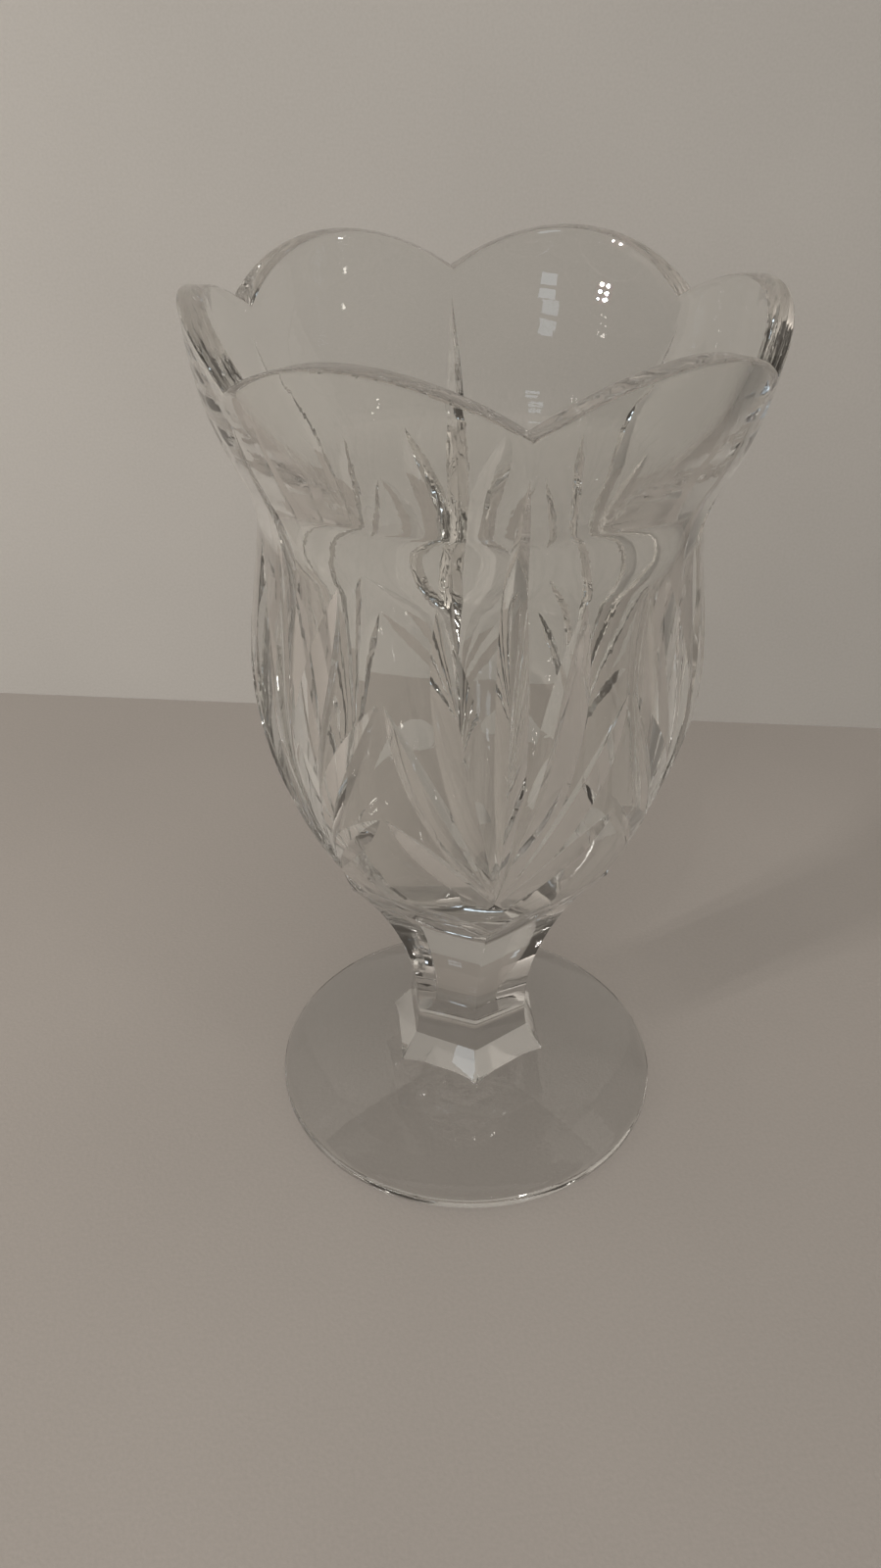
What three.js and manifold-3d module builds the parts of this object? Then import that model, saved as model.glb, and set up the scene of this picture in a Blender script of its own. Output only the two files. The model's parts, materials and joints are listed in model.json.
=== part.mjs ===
// A footed tulip vase of clear cut lead crystal, in millimetres, standing on z = 0 with +Z up.
// The bowl swells like a tulip, draws in at a waist and opens into six rounded petals with a flat
// polished edge. Under each notch between two petals a fan of seven V-shaped mitre cuts is ground
// into the outside. A six-sided fluted stem carries the bowl, and ends in a hexagonal skirt on a
// round domed foot. Angles are measured from the notch that faces -Y, turning towards +X.

import * as THREE from 'three';
import { mergeVertices } from 'three/addons/utils/BufferGeometryUtils.js';
import Module from 'manifold-3d';

const wasm = await Module();
wasm.setup();

// The bowl and its petals
const PETALS = 6;
const HEIGHT = 250;
const RIM_RADIUS = 69.6;
const NOTCH_DEPTH = 11.4;
const WAIST_HEIGHT = 196;
const WAIST_RADIUS = 55.6;
const BODY_HEIGHT = 155;
const BODY_RADIUS = 59.7;
const BOWL_BASE_HEIGHT = 96;
const BOWL_BASE_RADIUS = 41.5;
const FLOOR_HEIGHT = 108;
const RIM_WALL = 6;
const BODY_WALL = 8.4;
const EDGE_BEVEL = 0.5;

// Over the waist the outside bends out into the flare, and so does the inside over its throat. Each
// bend ends at a start point, where the flare leans out most: its slope is radius gained per height.
const FLARE_HEIGHT = 210.4;
const FLARE_RADIUS = 59.2;
const FLARE_SLOPE = 0.47;
const THROAT_HEIGHT = 200;
const THROAT_RADIUS = 48.1;
const INNER_FLARE_HEIGHT = 214;
const INNER_FLARE_RADIUS = 51.5;
const INNER_FLARE_SLOPE = 0.6;

// The fluted stem. Its flutes run up over the bottom of the bowl in pointed arches.
const STEM_WAIST_HEIGHT = 40;
const STEM_WAIST_APOTHEM = 17;
const FLUTE_TOP_HEIGHT = 103;
const FLUTE_TOP_APOTHEM = 45.8;

// The foot and its hexagonal skirt
const SKIRT_HEIGHT = 25.5;
const SKIRT_TOP_APOTHEM = 17.5;
const SKIRT_FOOT_HEIGHT = 16;
const SKIRT_FOOT_APOTHEM = 23;
const FOOT_RADIUS = 60;
const FOOT_EDGE = 3.6;
const FOOT_EDGE_ROUND = 0.6;
const UNDERSIDE_RADIUS = 45;
const UNDERSIDE_HOLLOW = 2;

// The fans: seven mitres from one root to their own tips. One is upright and the others lie in
// pairs. A spread is the angle from the fan's middle to the tip.
const MITRE_ANGLE = 128;
const FAN_ROOT_RISE = 8;
const ROOT_DEPTH = 0.35;
const UPRIGHT_BELOW_NOTCH = 8.6;
const UPRIGHT_DEPTH = 3.8;
const FIRST_SPREAD = 17.5;
const FIRST_DEPTH = 3.8;
const SECOND_ABOVE_BODY = 16;
const SECOND_DEPTH = 2.2;
const THIRD_BELOW_BODY = 17;
const THIRD_DEPTH = 2;
const TIP_CLEARANCE = 0.8;

// Clearance between pieces, and how finely the round forms are faceted
const JOINT_GAP = 0.3;
const PETAL_SEGMENTS = 10;
const MITRE_STEPS = 9;
const BODY_ROWS = 12;
const BEND_ROWS = 3;
const FLARE_ROWS = 8;
const INNER_FLARE_ROWS = 5;
const INNER_BODY_ROWS = 4;
const FLOOR_ROWS = 8;
const FOOT_ROWS = 12;
const CUTTER_LIFT = 2;

const PETAL_ANGLE = (2 * Math.PI) / PETALS;
const SEGMENTS = PETALS * PETAL_SEGMENTS;
const { degToRad, euclideanModulo, lerp, mapLinear } = THREE.MathUtils;

const glass = (name) =>
  new THREE.MeshStandardMaterial({
    name,
    color: 0xe4e6e2,
    roughness: 0.03,
    metalness: 0,
    transparent: true,
    opacity: 0.35,
  });

const steps = (from, to, count) => Array.from({ length: count + 1 }, (_, i) => lerp(from, to, i / count));
const aroundAxis = Array.from({ length: PETALS }, (_, i) => i * PETAL_ANGLE);

// Outlines are Bezier curves of radius against height. The two middle points of a curve set how
// full it is. A closed profile is read back as the radius at a height.

function curve(...points) {
  return new THREE.CubicBezierCurve(...points.map(([radius, height]) => new THREE.Vector2(radius, height)));
}

function radiusByHeight(curves) {
  const points = curves.flatMap((c) => c.getPoints(40)).sort((a, b) => a.y - b.y);
  return (height) => {
    if (height <= points[0].y) return points[0].x;
    const upper = points.findIndex((p) => p.y >= height);
    if (upper < 0) return points[points.length - 1].x;
    const a = points[upper - 1];
    const b = points[upper];
    return b.y === a.y ? b.x : mapLinear(height, a.y, b.y, a.x, b.x);
  };
}

// The bend over a waist and the flare above it, up to the rim

function flare([waistRadius, waistHeight], [startRadius, startHeight], slope, rimRadius) {
  const bendRise = startHeight - waistHeight;
  const petalRise = HEIGHT - startHeight;
  const below = 0.24 * bendRise;
  const above = 0.36 * petalRise;
  return [
    curve(
      [waistRadius, waistHeight],
      [waistRadius, waistHeight + 0.42 * bendRise],
      [startRadius - slope * below, startHeight - below],
      [startRadius, startHeight],
    ),
    curve(
      [startRadius, startHeight],
      [startRadius + slope * above, startHeight + above],
      [rimRadius - 1.4, HEIGHT - 0.48 * petalRise],
      [rimRadius, HEIGHT],
    ),
  ];
}

const bodyRise = BODY_HEIGHT - BOWL_BASE_HEIGHT;
const shoulderRise = WAIST_HEIGHT - BODY_HEIGHT;
const throatRise = THROAT_HEIGHT - BODY_HEIGHT;

const outsideOfBowl = radiusByHeight([
  curve(
    [BOWL_BASE_RADIUS, BOWL_BASE_HEIGHT],
    [lerp(BOWL_BASE_RADIUS, BODY_RADIUS, 0.5), BOWL_BASE_HEIGHT + 0.25 * bodyRise],
    [BODY_RADIUS, BODY_HEIGHT - 0.37 * bodyRise],
    [BODY_RADIUS, BODY_HEIGHT],
  ),
  curve(
    [BODY_RADIUS, BODY_HEIGHT],
    [BODY_RADIUS, BODY_HEIGHT + 0.33 * shoulderRise],
    [WAIST_RADIUS + 0.5, WAIST_HEIGHT - 0.25 * shoulderRise],
    [WAIST_RADIUS, WAIST_HEIGHT],
  ),
  ...flare([WAIST_RADIUS, WAIST_HEIGHT], [FLARE_RADIUS, FLARE_HEIGHT], FLARE_SLOPE, RIM_RADIUS),
]);

const rimInside = RIM_RADIUS - RIM_WALL;
const bodyInside = BODY_RADIUS - BODY_WALL;

const floorCurve = curve(
  [0, FLOOR_HEIGHT],
  [0.74 * bodyInside, FLOOR_HEIGHT],
  [bodyInside, lerp(FLOOR_HEIGHT, BODY_HEIGHT, 0.38)],
  [bodyInside, BODY_HEIGHT],
);

const insideOfBowl = radiusByHeight([
  floorCurve,
  curve(
    [bodyInside, BODY_HEIGHT],
    [bodyInside, BODY_HEIGHT + 0.36 * throatRise],
    [THROAT_RADIUS, THROAT_HEIGHT - 0.34 * throatRise],
    [THROAT_RADIUS, THROAT_HEIGHT],
  ),
  ...flare(
    [THROAT_RADIUS, THROAT_HEIGHT],
    [INNER_FLARE_RADIUS, INNER_FLARE_HEIGHT],
    INNER_FLARE_SLOPE,
    rimInside,
  ),
]);

// The petals. Across a petal runs from -1 at one notch to 1 at the next, and the rim is an arch
// over each petal.

const acrossPetal = (angle) => 2 * (euclideanModulo(angle, PETAL_ANGLE) / PETAL_ANGLE) - 1;
const rimHeight = (angle) => HEIGHT - NOTCH_DEPTH * acrossPetal(angle) ** 2;

// A closed geometry becomes a solid: shared vertices are merged, empty triangles at the poles
// are dropped, and the faces are turned to point out.

function solid(geometry) {
  geometry.deleteAttribute('normal');
  geometry.deleteAttribute('uv');
  const merged = mergeVertices(geometry, 1e-4);
  const vertices = merged.getAttribute('position').array;
  const index = merged.getIndex().array;
  const triangles = [];
  let volume = 0;
  for (let i = 0; i < index.length; i += 3) {
    const [a, b, c] = index.slice(i, i + 3);
    if (a === b || b === c || c === a) continue;
    triangles.push(a, b, c);
    const [p, q, r] = [a, b, c].map((v) => new THREE.Vector3().fromArray(vertices, 3 * v));
    volume += p.dot(q.cross(r));
  }
  if (volume < 0) triangles.reverse();
  const vertProperties = new Float32Array(vertices);
  const triVerts = new Uint32Array(triangles);
  return new wasm.Manifold(new wasm.Mesh({ numProp: 3, vertProperties, triVerts }));
}

function toMesh(name, shape) {
  const { vertProperties, triVerts } = shape.getMesh();
  const geometry = new THREE.BufferGeometry();
  geometry.setAttribute('position', new THREE.BufferAttribute(new Float32Array(vertProperties), 3));
  geometry.setIndex(new THREE.BufferAttribute(new Uint32Array(triVerts), 1));
  geometry.computeVertexNormals();
  const mesh = new THREE.Mesh(geometry, glass(`${name}_crystal`));
  mesh.name = name;
  return mesh;
}

// Round blanks are turned as lathe forms. A row gives its radius and height at an angle, so that
// a row can follow the petals.

function turned(rows) {
  const profile = rows.map((row) => new THREE.Vector2(row(0).radius, row(0).height));
  const lathe = new THREE.LatheGeometry(profile, SEGMENTS);
  const position = lathe.getAttribute('position');
  for (let i = 0; i < position.count; i += 1) {
    const angle = (Math.floor(i / rows.length) / SEGMENTS) * 2 * Math.PI;
    const { radius, height } = rows[i % rows.length](angle);
    position.setXYZ(i, radius * Math.sin(angle), height, radius * Math.cos(angle));
  }
  lathe.rotateX(Math.PI / 2);
  return solid(lathe);
}

const level = (radius, height) => () => ({ radius, height });
const levels = (outline, count) => outline.getPoints(count).map((p) => level(p.x, p.y));

function drum(radius, bottom, top) {
  return turned([level(0, bottom), level(radius, bottom), level(radius, top), level(0, top)]);
}

// Mitre cuts: the V-shaped groove that a wheel leaves, swept along the outside of the bowl. The
// groove stays open a little at the root, is deepest at its fullest place, a share of the way
// along, and runs out to nothing at its tip.

const fanRoot = BOWL_BASE_HEIGHT + FAN_ROOT_RISE;
const meetingSpread = THREE.MathUtils.radToDeg(PETAL_ANGLE / 2) - TIP_CLEARANCE;

const FAN_CUTS = [
  { spread: 0, tip: HEIGHT - NOTCH_DEPTH - UPRIGHT_BELOW_NOTCH, depth: UPRIGHT_DEPTH, fullest: 0.62 },
  { spread: FIRST_SPREAD, tip: WAIST_HEIGHT, depth: FIRST_DEPTH, fullest: 0.68 },
  { spread: meetingSpread, tip: BODY_HEIGHT + SECOND_ABOVE_BODY, depth: SECOND_DEPTH, fullest: 0.6 },
  { spread: meetingSpread, tip: BODY_HEIGHT - THIRD_BELOW_BODY, depth: THIRD_DEPTH, fullest: 0.6 },
];

function surfacePoint(angle, height) {
  const radius = outsideOfBowl(height);
  return new THREE.Vector3(radius * Math.sin(angle), -radius * Math.cos(angle), height);
}

function surfaceNormal(angle, height) {
  const around = surfacePoint(angle + 0.01, height).sub(surfacePoint(angle - 0.01, height));
  const up = surfacePoint(angle, height + 1).sub(surfacePoint(angle, height - 1));
  return around.cross(up).normalize();
}

function grooveDepth({ depth, fullest }, share) {
  if (share > fullest) return depth * (1 - ((share - fullest) / (1 - fullest)) ** 2);
  return depth * lerp(1, ROOT_DEPTH, ((fullest - share) / fullest) ** 2);
}

function mitreCutter(cut, side, fanAngle) {
  const widening = Math.tan(degToRad(MITRE_ANGLE / 2));
  const lean = side * degToRad(cut.spread);
  const place = (share) => [fanAngle + lean * share, lerp(fanRoot, cut.tip, share)];
  const positions = [];
  for (const share of steps(0, 1, MITRE_STEPS)) {
    const centre = surfacePoint(...place(share));
    const normal = surfaceNormal(...place(share));
    const ahead = surfacePoint(...place(share + 0.01)).sub(surfacePoint(...place(share - 0.01)));
    const across = ahead.cross(normal).normalize();
    const depth = grooveDepth(cut, share);
    const halfWidth = (depth + CUTTER_LIFT) * widening;
    const bottom = centre.clone().addScaledVector(normal, -depth);
    const top = centre.clone().addScaledVector(normal, CUTTER_LIFT);
    const right = top.clone().addScaledVector(across, halfWidth);
    const left = top.clone().addScaledVector(across, -halfWidth);
    positions.push(...bottom.toArray(), ...right.toArray(), ...left.toArray());
  }
  const index = [0, 1, 2];
  for (let i = 0; i < MITRE_STEPS; i += 1) {
    for (let k = 0; k < 3; k += 1) {
      const a = 3 * i + k;
      const b = 3 * i + ((k + 1) % 3);
      index.push(a, a + 3, b, b, a + 3, b + 3);
    }
  }
  const last = 3 * MITRE_STEPS;
  index.push(last, last + 2, last + 1);
  const cutter = new THREE.BufferGeometry();
  cutter.setAttribute('position', new THREE.Float32BufferAttribute(positions, 3));
  cutter.setIndex(index);
  return solid(cutter);
}

function fan(fanAngle) {
  return FAN_CUTS.flatMap((cut) => {
    const sides = cut.spread === 0 ? [0] : [1, -1];
    return sides.map((side) => mitreCutter(cut, side, fanAngle));
  });
}

// Flutes: six flat faces, curved only in height, that one wheel profile grinds into the bowl's
// base, the stem and the skirt. A cutter is all that lies outside the profile, across a flute.

const wheelBottom = SKIRT_FOOT_HEIGHT / 2;
const skirtSlope = (SKIRT_FOOT_APOTHEM - SKIRT_TOP_APOTHEM) / (SKIRT_HEIGHT - SKIRT_FOOT_HEIGHT);

function wheelProfile() {
  const stemRise = STEM_WAIST_HEIGHT - SKIRT_HEIGHT;
  const fluteRise = FLUTE_TOP_HEIGHT - STEM_WAIST_HEIGHT;
  const fluteReach = FLUTE_TOP_APOTHEM - STEM_WAIST_APOTHEM;
  const clear = BODY_RADIUS + FOOT_RADIUS;
  const profile = new THREE.Shape();
  profile.moveTo(SKIRT_TOP_APOTHEM + skirtSlope * (SKIRT_HEIGHT - wheelBottom), wheelBottom);
  profile.lineTo(SKIRT_TOP_APOTHEM, SKIRT_HEIGHT);
  profile.bezierCurveTo(
    STEM_WAIST_APOTHEM - 0.3, SKIRT_HEIGHT + 0.35 * stemRise,
    STEM_WAIST_APOTHEM - 0.3, STEM_WAIST_HEIGHT - 0.4 * stemRise,
    STEM_WAIST_APOTHEM, STEM_WAIST_HEIGHT,
  );
  profile.bezierCurveTo(
    STEM_WAIST_APOTHEM, STEM_WAIST_HEIGHT + 0.25 * fluteRise,
    FLUTE_TOP_APOTHEM - 0.65 * fluteReach, FLUTE_TOP_HEIGHT - 0.24 * fluteRise,
    FLUTE_TOP_APOTHEM, FLUTE_TOP_HEIGHT,
  );
  profile.lineTo(FLUTE_TOP_APOTHEM + 0.325 * fluteReach, FLUTE_TOP_HEIGHT + 0.12 * fluteRise);
  profile.lineTo(clear, FLUTE_TOP_HEIGHT + 0.12 * fluteRise);
  profile.lineTo(clear, wheelBottom);
  profile.closePath();
  return profile;
}

function fluteCutter(notchAngle) {
  const width = 2 * BODY_RADIUS;
  const cutter = new THREE.ExtrudeGeometry(wheelProfile(), {
    depth: width,
    bevelEnabled: false,
    curveSegments: 14,
  });
  cutter.translate(0, 0, -width / 2);
  cutter.rotateX(Math.PI / 2);
  cutter.rotateZ(notchAngle + PETAL_ANGLE / 2 - Math.PI / 2);
  return solid(cutter);
}

const flutes = wasm.Manifold.union(aroundAxis.map(fluteCutter));
const fans = wasm.Manifold.union(aroundAxis.flatMap(fan));

// The bowl: a turned blank whose upper rows follow the petals, then the flutes and the fans

function bowl() {
  const fixed = FLARE_HEIGHT;
  const stretch = (angle, height) =>
    height <= fixed ? height : mapLinear(height, fixed, HEIGHT, fixed, rimHeight(angle) - EDGE_BEVEL);
  const row = (radiusAt) => (height) => (angle) => {
    const at = stretch(angle, height);
    return { radius: radiusAt(at), height: at };
  };
  const edgeRow = (radiusAt, inset) => (angle) => {
    const height = rimHeight(angle);
    return { radius: radiusAt(height) + inset, height };
  };
  const bottom = BOWL_BASE_HEIGHT + JOINT_GAP / 2;
  const blank = turned([
    level(0, bottom),
    ...steps(bottom, WAIST_HEIGHT, BODY_ROWS).map(row(outsideOfBowl)),
    ...steps(WAIST_HEIGHT, FLARE_HEIGHT, BEND_ROWS).slice(1).map(row(outsideOfBowl)),
    ...steps(FLARE_HEIGHT, HEIGHT, FLARE_ROWS).slice(1).map(row(outsideOfBowl)),
    edgeRow(outsideOfBowl, -EDGE_BEVEL),
    edgeRow(insideOfBowl, EDGE_BEVEL),
    ...steps(HEIGHT, INNER_FLARE_HEIGHT, INNER_FLARE_ROWS).map(row(insideOfBowl)),
    ...steps(INNER_FLARE_HEIGHT, THROAT_HEIGHT, BEND_ROWS).slice(1).map(row(insideOfBowl)),
    ...steps(THROAT_HEIGHT, BODY_HEIGHT, INNER_BODY_ROWS).slice(1).map(row(insideOfBowl)),
    ...levels(floorCurve, FLOOR_ROWS).reverse().slice(1),
  ]);
  return blank.subtract(flutes).subtract(fans);
}

// The stem: a round post, wide enough for the flutes to leave sharp ridges between them

function stem() {
  const top = BOWL_BASE_HEIGHT - JOINT_GAP / 2;
  return drum(BOWL_BASE_RADIUS, SKIRT_HEIGHT + JOINT_GAP / 2, top).subtract(flutes);
}

// The foot: a domed disc joined to the hexagonal skirt, slightly hollow underneath

function foot() {
  const skirtCorner = SKIRT_FOOT_APOTHEM / Math.cos(PETAL_ANGLE / 2);
  const skirt = drum(FOOT_RADIUS, wheelBottom, SKIRT_HEIGHT - JOINT_GAP / 2).subtract(flutes);
  const hollow = curve(
    [0, UNDERSIDE_HOLLOW],
    [0.5 * UNDERSIDE_RADIUS, UNDERSIDE_HOLLOW],
    [0.8 * UNDERSIDE_RADIUS, 0.25 * UNDERSIDE_HOLLOW],
    [UNDERSIDE_RADIUS, 0],
  );
  const shoulder = FOOT_RADIUS - FOOT_EDGE_ROUND;
  const dome = curve(
    [shoulder, FOOT_EDGE],
    [FOOT_RADIUS - 12, lerp(FOOT_EDGE, SKIRT_FOOT_HEIGHT, 0.38)],
    [skirtCorner + 10, SKIRT_FOOT_HEIGHT - 2.5],
    [skirtCorner - 4, SKIRT_FOOT_HEIGHT + 2],
  );
  const disc = turned([
    ...levels(hollow, FOOT_ROWS / 2),
    level(shoulder, 0),
    level(FOOT_RADIUS, FOOT_EDGE_ROUND),
    level(FOOT_RADIUS, FOOT_EDGE - FOOT_EDGE_ROUND),
    ...levels(dome, FOOT_ROWS),
    level(0, SKIRT_FOOT_HEIGHT + 2),
  ]);
  return disc.add(skirt);
}

const vase = new THREE.Group();
vase.name = 'tulip_vase';
vase.add(toMesh('bowl', bowl()), toMesh('stem', stem()), toMesh('foot', foot()));

export default vase;
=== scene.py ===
# %% [markdown]
# A cut crystal vase is three gathers of clear glass joined hot: a bowl, a stem and a foot. The
# solid frame already holds them at their real size. Here each one is modelled again with a
# finer surface, because glass shows every facet of a coarse mesh, and gets its finish.
# We work in metres, in the frame's own place, so nothing has to be fitted afterwards.

# %% Load the frame and keep its size
import json
import math

import bpy
import numpy as np
from mathutils import Matrix, Vector

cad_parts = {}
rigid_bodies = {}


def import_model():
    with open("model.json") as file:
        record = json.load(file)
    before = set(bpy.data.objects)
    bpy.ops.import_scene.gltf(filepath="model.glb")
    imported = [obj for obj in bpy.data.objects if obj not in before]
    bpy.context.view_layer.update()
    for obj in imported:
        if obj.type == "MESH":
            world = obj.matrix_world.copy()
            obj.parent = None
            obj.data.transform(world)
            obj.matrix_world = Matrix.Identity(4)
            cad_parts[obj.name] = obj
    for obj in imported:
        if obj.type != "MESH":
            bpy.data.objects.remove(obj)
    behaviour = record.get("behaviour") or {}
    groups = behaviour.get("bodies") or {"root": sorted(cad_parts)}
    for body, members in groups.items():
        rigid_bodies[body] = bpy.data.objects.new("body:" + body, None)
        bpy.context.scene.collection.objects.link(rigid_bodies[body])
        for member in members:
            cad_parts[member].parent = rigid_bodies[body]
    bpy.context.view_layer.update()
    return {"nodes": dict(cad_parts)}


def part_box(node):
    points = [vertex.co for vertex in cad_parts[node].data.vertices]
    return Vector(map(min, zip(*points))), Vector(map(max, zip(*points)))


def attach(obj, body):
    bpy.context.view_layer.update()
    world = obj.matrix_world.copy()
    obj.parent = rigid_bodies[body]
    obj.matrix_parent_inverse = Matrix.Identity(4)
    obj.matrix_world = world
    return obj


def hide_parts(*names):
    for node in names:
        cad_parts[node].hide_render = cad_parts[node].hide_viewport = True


bpy.ops.object.select_all(action="SELECT")
bpy.ops.object.delete()
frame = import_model()
print("nodes in the frame:", sorted(frame["nodes"]))

# %% [markdown]
# The camera comes first, placed where the photograph was taken from. A vase is usually
# photographed from above its rim, here with a wide lens held about half a metre away. A camera
# looks down its own -Z axis, so it is pitched up from straight down, then turned to its heading,
# and the small roll of a hand-held picture is put in first.

# %% Place the camera
CAMERA_PLACE = (-0.04514, -0.31096, 0.32905)
CAMERA_HEADING = math.radians(6.56)
CAMERA_PITCH = math.radians(34.627)
CAMERA_ROLL = math.radians(0.506)
CAMERA_LENS = 30.63

bpy.ops.object.select_all(action="DESELECT")
bpy.ops.object.camera_add()
camera = bpy.context.object
camera.name = "camera"
camera.data.lens = CAMERA_LENS
camera.data.clip_start = 0.01
camera.matrix_world = (
    Matrix.Translation(CAMERA_PLACE)
    @ Matrix.Rotation(-CAMERA_HEADING, 4, "Z")
    @ Matrix.Rotation(math.pi / 2 - CAMERA_PITCH, 4, "X")
    @ Matrix.Rotation(CAMERA_ROLL, 4, "Z")
)
bpy.context.scene.camera = camera
print("camera is", round(Vector(CAMERA_PLACE).length, 3), "m from the foot")

# %% [markdown]
# The vase's outline is a few Bezier curves of radius against height. Drawing it this way keeps
# the bowl fair, with one smooth swell, a tight waist and an open flare, where a list of measured
# points would leave bumps that glass shows at once.
#
# The inside is what a plunger leaves when it is drawn out upwards: below the throat it runs almost
# straight down, narrows with the swell of the bowl and ends in a round tip inside the top of the
# stem. How the far cuts look through the near wall shows how thick the wall is and how deep the
# inside goes.

# %% Sizes of the bowl
PETALS = 6
PETAL_ANGLE = 2 * math.pi / PETALS
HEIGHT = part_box("bowl")[1].z
RIM_RADIUS = 0.0696
NOTCH_DEPTH = 0.0114
WAIST_HEIGHT = 0.196
WAIST_RADIUS = 0.0556
WAIST_EASE = 0.0005
FLARE_HEIGHT = 0.2104
FLARE_RADIUS = 0.0592
FLARE_SLOPE = 0.47
RIM_LEAN = 0.0014
THROAT_HEIGHT = 0.200
THROAT_RADIUS = 0.0481
INNER_FLARE_HEIGHT = 0.214
INNER_FLARE_RADIUS = 0.0515
INNER_FLARE_SLOPE = 0.6
BODY_HEIGHT = 0.155
BODY_RADIUS = 0.0597
BOWL_BASE_HEIGHT = 0.096
BOWL_BASE_RADIUS = 0.0415
FLOOR_HEIGHT = 0.075
RIM_WALL = 0.006
BODY_WALL = 0.0118
LIP_ROUND = 0.0008
print("the bowl rises from", BOWL_BASE_HEIGHT, "to", round(HEIGHT, 4), "m")


# %% Helpers that draw an outline
def bezier(start, first, second, end, count):
    """Points along a Bezier curve of radius against height, with both ends."""
    t = np.linspace(0, 1, count + 1)[:, None]
    a, b, c, d = (np.array(p) for p in (start, first, second, end))
    return (1 - t) ** 3 * a + 3 * (1 - t) ** 2 * t * b + 3 * (1 - t) * t**2 * c + t**3 * d


def chain(*curves):
    """Curves end to end, with each shared point kept once."""
    return np.vstack([curves[0]] + [c[1:] for c in curves[1:]])


def flare(waist, start, slope, rim):
    """The bend above a waist up to where the flare starts, then the flare up to the rim.

    Each share is how far a curve's handle reaches along its own rise: longer handles hold the
    curve to its direction, and shorter ones let it turn sooner.
    """
    bend_rise = start[1] - waist[1]
    petal_rise = HEIGHT - start[1]
    below = 0.24 * bend_rise
    above = 0.36 * petal_rise
    bend = bezier(
        waist,
        (waist[0], waist[1] + 0.42 * bend_rise),
        (start[0] - slope * below, start[1] - below),
        start,
        30,
    )
    petal = bezier(
        start,
        (start[0] + slope * above, start[1] + above),
        (rim - RIM_LEAN, HEIGHT - 0.48 * petal_rise),
        (rim, HEIGHT),
        30,
    )
    return chain(bend, petal)


# %% Draw the outside and the inside of the bowl
body_rise = BODY_HEIGHT - BOWL_BASE_HEIGHT
shoulder_rise = WAIST_HEIGHT - BODY_HEIGHT
throat_rise = THROAT_HEIGHT - BODY_HEIGHT
rim_inside = RIM_RADIUS - RIM_WALL
body_inside = BODY_RADIUS - BODY_WALL

outer_outline = chain(
    bezier(
        (BOWL_BASE_RADIUS, BOWL_BASE_HEIGHT),
        ((BOWL_BASE_RADIUS + BODY_RADIUS) / 2, BOWL_BASE_HEIGHT + 0.25 * body_rise),
        (BODY_RADIUS, BODY_HEIGHT - 0.37 * body_rise),
        (BODY_RADIUS, BODY_HEIGHT),
        36,
    ),
    bezier(
        (BODY_RADIUS, BODY_HEIGHT),
        (BODY_RADIUS, BODY_HEIGHT + 0.33 * shoulder_rise),
        (WAIST_RADIUS + WAIST_EASE, WAIST_HEIGHT - 0.25 * shoulder_rise),
        (WAIST_RADIUS, WAIST_HEIGHT),
        24,
    ),
    flare((WAIST_RADIUS, WAIST_HEIGHT), (FLARE_RADIUS, FLARE_HEIGHT), FLARE_SLOPE, RIM_RADIUS),
)
inner_outline = chain(
    bezier(
        (0, FLOOR_HEIGHT),
        (0.62 * body_inside, FLOOR_HEIGHT),
        (body_inside, FLOOR_HEIGHT + 0.4 * (BODY_HEIGHT - FLOOR_HEIGHT)),
        (body_inside, BODY_HEIGHT),
        48,
    ),
    bezier(
        (body_inside, BODY_HEIGHT),
        (body_inside, BODY_HEIGHT + 0.36 * throat_rise),
        (THROAT_RADIUS, THROAT_HEIGHT - 0.34 * throat_rise),
        (THROAT_RADIUS, THROAT_HEIGHT),
        20,
    ),
    flare(
        (THROAT_RADIUS, THROAT_HEIGHT),
        (INNER_FLARE_RADIUS, INNER_FLARE_HEIGHT),
        INNER_FLARE_SLOPE,
        rim_inside,
    ),
)


def outer_radius(height):
    """The blank's radius outside at a height."""
    return np.interp(height, outer_outline[:, 1], outer_outline[:, 0])


def inner_radius(height):
    """The blank's radius inside at a height."""
    return np.interp(height, inner_outline[:, 1], inner_outline[:, 0])


print("outline points:", len(outer_outline), "outside and", len(inner_outline), "inside")

# %% [markdown]
# A glassmaker turns the blank on a rod, and Blender's spin does the same. The outline is drawn
# as one chain of edges by extruding a vertex, and the spin carries it once round the axis.
# Merging doubles closes the seam and the two poles, and the normals are then made to face out.

# %% A helper that turns an outline
SPIN_STEPS = 300
MERGE = 1e-6


def deselect():
    """Leaves edit mode and selects nothing."""
    if bpy.context.object and bpy.context.object.mode != "OBJECT":
        bpy.ops.object.mode_set(mode="OBJECT")
    bpy.ops.object.select_all(action="DESELECT")


def pick(obj):
    """Makes obj the only selected object and the active one."""
    deselect()
    obj.select_set(True)
    bpy.context.view_layer.objects.active = obj


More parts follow.
